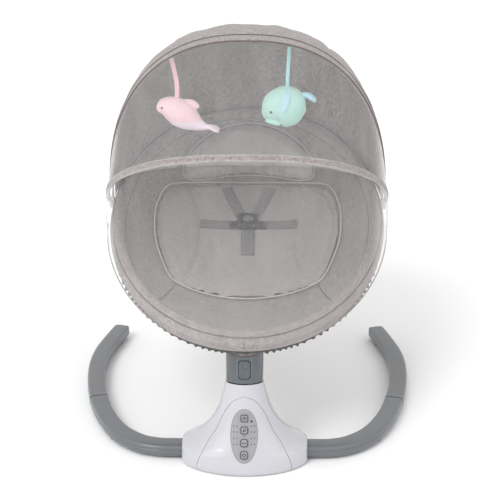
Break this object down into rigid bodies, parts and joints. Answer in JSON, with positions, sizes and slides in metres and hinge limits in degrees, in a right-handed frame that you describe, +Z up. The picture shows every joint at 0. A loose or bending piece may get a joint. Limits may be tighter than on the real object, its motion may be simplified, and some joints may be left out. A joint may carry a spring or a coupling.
{
  "type": "electric baby swing",
  "caption": "Free-standing electric baby swing: C-shaped legs and a motor housing carry a tilted neck, a reclining oval fabric seat, a folding hood, a fly net and hanging plush toys.",
  "frame": {"origin": "on the floor, under the middle of the motor housing, on the underside of its base plate", "axes": "+Z up; the front with the control panel faces -Y and the legs and seat reach towards +Y; +X is on the right of a person who faces the front"},
  "size_m": [0.62, 0.7062, 0.6946],
  "materials": {
    "housing_white": "glossy moulded plastic",
    "panel_grey": null,
    "leg_slate": "satin moulded plastic, fine texture",
    "neck_slate": "satin moulded plastic",
    "black_plastic": "moulded",
    "foot_rubber": "matt",
    "circuit_board": "solder mask",
    "coil_copper": null,
    "magnet": "nickel plated",
    "steel": "bright",
    "tube_metal": "powder coat",
    "grey_fabric": "heathered linen weave",
    "pad_fabric": "padded heathered linen, light piping",
    "net_mesh": "fine see-through mesh",
    "webbing": "woven webbing",
    "pink_plush": "short plush",
    "teal_plush": "short plush"
  },
  "bodies": {
    "base": {"housing_shell": "housing_white", "front_cover": "housing_white", "control_panel": "panel_grey", "base_plate": "housing_white", "bearing_carrier": "black_plastic", "lower_bearing": "steel", "upper_bearing": "steel", "drive_coil": "coil_copper", "coil_mount": "black_plastic", "control_board": "circuit_board", "speaker": "black_plastic", "dc_socket": "black_plastic", "front_leg_left": "leg_slate", "front_leg_right": "leg_slate", "rear_leg_left": "leg_slate", "rear_leg_right": "leg_slate", "front_foot_left": "foot_rubber", "front_foot_right": "foot_rubber", "rear_foot_left": "foot_rubber", "rear_foot_right": "foot_rubber"},
    "swing_head": {"neck_sleeve": "neck_slate", "swing_shaft": "steel", "shaft_nut": "steel", "magnet_arm": "leg_slate", "drive_magnet": "magnet", "recline_pin": "steel"},
    "seat": {"seat_bracket": "leg_slate", "front_tube_left": "tube_metal", "front_tube_right": "tube_metal", "rear_tube": "tube_metal", "side_joint_left": "leg_slate", "side_joint_right": "leg_slate", "bow_pin_left": "steel", "bow_pin_right": "steel", "seat_cover": "grey_fabric", "seat_pad": "pad_fabric", "head_pillow": "pad_fabric", "crotch_strap": "webbing", "waist_strap_left": "webbing", "waist_strap_right": "webbing", "shoulder_strap_left": "webbing", "shoulder_strap_right": "webbing", "buckle_tongue_left": "black_plastic", "buckle_tongue_right": "black_plastic", "buckle_body": "black_plastic"},
    "hood": {"hood_bow": "steel", "hood_fabric": "grey_fabric"},
    "net": {"net_bow": "steel", "net_upper": "net_mesh", "net_lower": "net_mesh"},
    "pink_toy_body": {"pink_toy": "pink_plush"},
    "teal_toy_body": {"teal_toy": "teal_plush"},
    "timer_button_body": {"timer_button": "panel_grey"},
    "music_button_body": {"music_button": "panel_grey"},
    "swing_button_body": {"swing_button": "panel_grey"},
    "power_button_body": {"power_button": "panel_grey"},
    "release_button_body": {"release_button": "neck_slate"},
    "buckle_button_body": {"buckle_button": "leg_slate"},
    "leg_snap_left_body": {"leg_snap_button_left": "leg_slate"},
    "leg_snap_right_body": {"leg_snap_button_right": "leg_slate"}
  },
  "joints": [
    {"name": "swing", "type": "hinge", "parent": "base", "child": "swing_head", "pos_m": [0, 0, 0.1475], "axis": [0, 0.2079, 0.9781], "range_deg": [-14, 14]},
    {"name": "recline", "type": "hinge", "parent": "swing_head", "child": "seat", "pos_m": [0, 0.00956, 0.19249], "axis": [1, 0, 0], "range_deg": [0, 15]},
    {"name": "hood_fold", "type": "hinge", "parent": "seat", "child": "hood", "pos_m": [0, 0.32495, 0.35478], "axis": [1, 0, 0], "range_deg": [-62, 0], "deforming": ["hood_fabric"]},
    {"name": "net_fold", "type": "hinge", "parent": "hood", "child": "net", "pos_m": [0, 0.32495, 0.35478], "axis": [1, 0, 0], "range_deg": [-38, 0], "deforming": ["net_upper", "net_lower"]},
    {"name": "pink_toy_hang", "type": "hinge", "parent": "hood", "child": "pink_toy_body", "pos_m": [-0.137, 0.27803, 0.6402], "axis": [1, 0, 0], "range_deg": [-20, 20]},
    {"name": "teal_toy_hang", "type": "hinge", "parent": "hood", "child": "teal_toy_body", "pos_m": [0.072, 0.27369, 0.66729], "axis": [1, 0, 0], "range_deg": [-20, 20]},
    {"name": "timer_button_press", "type": "slide", "parent": "base", "child": "timer_button_body", "axis": [0, 0.9569, -0.2906], "range_m": [0, 0.0012], "stiffness_N_per_m": 800, "springref_m": -0.001},
    {"name": "music_button_press", "type": "slide", "parent": "base", "child": "music_button_body", "axis": [0, 0.9477, -0.3191], "range_m": [0, 0.0012], "stiffness_N_per_m": 800, "springref_m": -0.001},
    {"name": "swing_button_press", "type": "slide", "parent": "base", "child": "swing_button_body", "axis": [0, 0.9266, -0.376], "range_m": [0, 0.0012], "stiffness_N_per_m": 800, "springref_m": -0.001},
    {"name": "power_button_press", "type": "slide", "parent": "base", "child": "power_button_body", "axis": [0, 0.9173, -0.3983], "range_m": [0, 0.0012], "stiffness_N_per_m": 800, "springref_m": -0.001},
    {"name": "release_button_press", "type": "slide", "parent": "swing_head", "child": "release_button_body", "axis": [0, 0.9781, -0.2079], "range_m": [0, 0.003], "stiffness_N_per_m": 900, "springref_m": -0.002},
    {"name": "buckle_button_press", "type": "slide", "parent": "seat", "child": "buckle_button_body", "axis": [0, 0.3007, -0.9537], "range_m": [0, 0.002], "stiffness_N_per_m": 900, "springref_m": -0.002},
    {"name": "leg_snap_left_press", "type": "slide", "parent": "base", "child": "leg_snap_left_body", "axis": [-0.9539, -0.3002, 0], "range_m": [0, 0.003], "stiffness_N_per_m": 900, "springref_m": -0.001},
    {"name": "leg_snap_right_press", "type": "slide", "parent": "base", "child": "leg_snap_right_body", "axis": [0.9539, -0.3002, 0], "range_m": [0, 0.003], "stiffness_N_per_m": 900, "springref_m": -0.001}
  ]
}
